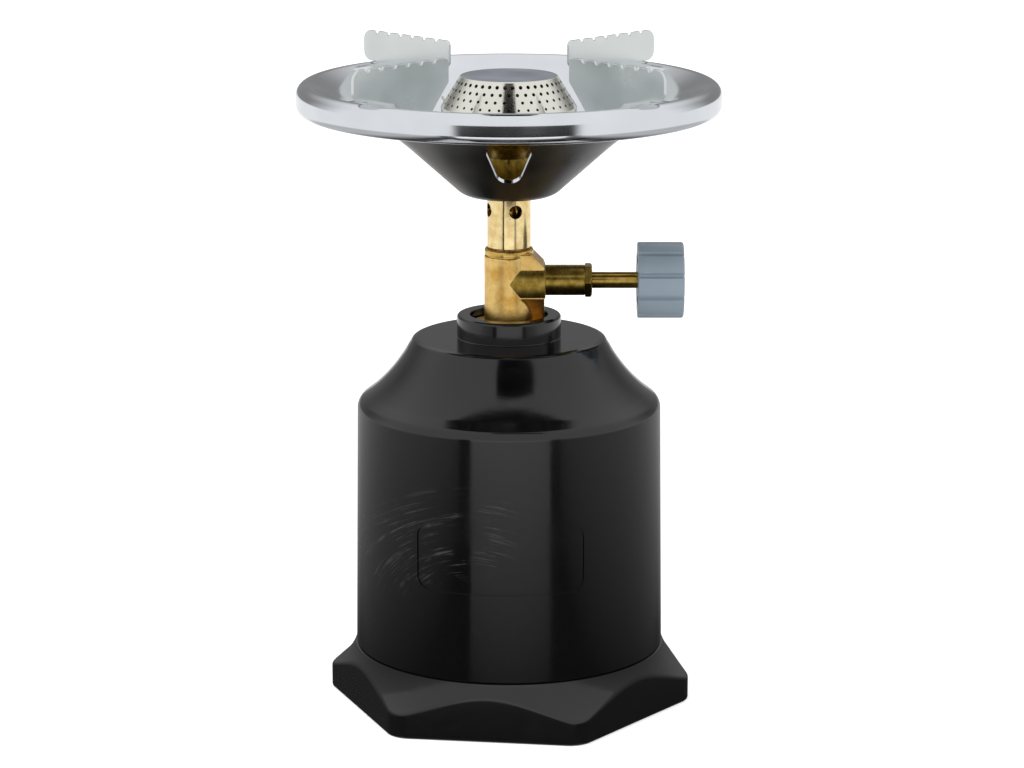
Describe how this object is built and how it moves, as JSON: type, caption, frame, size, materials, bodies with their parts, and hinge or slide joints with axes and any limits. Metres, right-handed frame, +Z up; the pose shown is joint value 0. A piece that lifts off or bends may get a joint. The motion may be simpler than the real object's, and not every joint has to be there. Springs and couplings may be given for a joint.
{
  "type": "butane cartridge camping stove",
  "caption": "Upright camping stove: a black housing on a six-sided foot holds a pierceable cartridge; brass valve with side knob, wind bowl and pan supports.",
  "frame": {"origin": "centre of the foot's underside, on the surface that the stove stands on", "axes": "+Z up along the burner tube, -Y towards the label panel, +X towards the knob"},
  "size_m": [0.133, 0.133, 0.2099],
  "materials": {
    "foot_plastic": "moulded, semi-gloss",
    "housing_plastic": "moulded, high gloss",
    "forged_brass": "hot forged, tumbled",
    "turned_brass": "turned, bright",
    "tube_brass": "rolled tube, drawn",
    "spindle_brass": "turned, slightly tarnished",
    "sintered_bronze": "sintered, matte",
    "needle_steel": "ground",
    "seal_rubber": "moulded, matte",
    "knob_plastic": "moulded, satin",
    "plated_steel": "deep drawn, bright plated",
    "support_steel": "stamped, zinc plated",
    "cap_steel": "pressed, nickel plated"
  },
  "bodies": {
    "foot": {"foot_base": "foot_plastic"},
    "housing_body": {"housing": "housing_plastic", "neck_bush": "turned_brass"},
    "burner_lift": {"cartridge_seal": "seal_rubber"},
    "burner": {"valve_body": "forged_brass", "piercing_needle": "needle_steel", "gas_filter": "sintered_bronze", "gland_nut": "turned_brass", "jet": "turned_brass", "burner_tube": "tube_brass", "bowl": "plated_steel", "bowl_nut": "needle_steel", "burner_cup": "tube_brass", "burner_cap": "cap_steel", "pan_support_front_left": "support_steel", "pan_support_front_right": "support_steel", "pan_support_back_left": "support_steel", "pan_support_back_right": "support_steel"},
    "spindle_shift": {"spindle_oring": "seal_rubber"},
    "spindle_turn": {"spindle": "spindle_brass", "knob": "knob_plastic"}
  },
  "joints": [
    {"name": "bayonet_twist", "type": "hinge", "parent": "foot", "child": "housing_body", "pos_m": [0, 0, 0.0187], "axis": [0, 0, 1], "range_deg": [0, 25]},
    {"name": "burner_travel", "type": "slide", "parent": "housing_body", "child": "burner_lift", "axis": [0, 0, 1], "range_m": [0, 0.00905]},
    {"name": "burner_screw", "type": "hinge", "parent": "burner_lift", "child": "burner", "pos_m": [0, 0, 0.12], "axis": [0, 0, 1], "range_deg": [0, 2160]},
    {"name": "spindle_travel", "type": "slide", "parent": "burner", "child": "spindle_shift", "axis": [1, 0, 0], "range_m": [0, 0.0016]},
    {"name": "knob_turn", "type": "hinge", "parent": "spindle_shift", "child": "spindle_turn", "pos_m": [0.03, 0, 0.1365], "axis": [1, 0, 0], "range_deg": [0, 720]}
  ],
  "couplings": [
    {"joint": "burner_travel", "follows": "burner_screw", "m_per_rad": 0.00023873},
    {"joint": "spindle_travel", "follows": "knob_turn", "m_per_rad": 0.00011937}
  ]
}
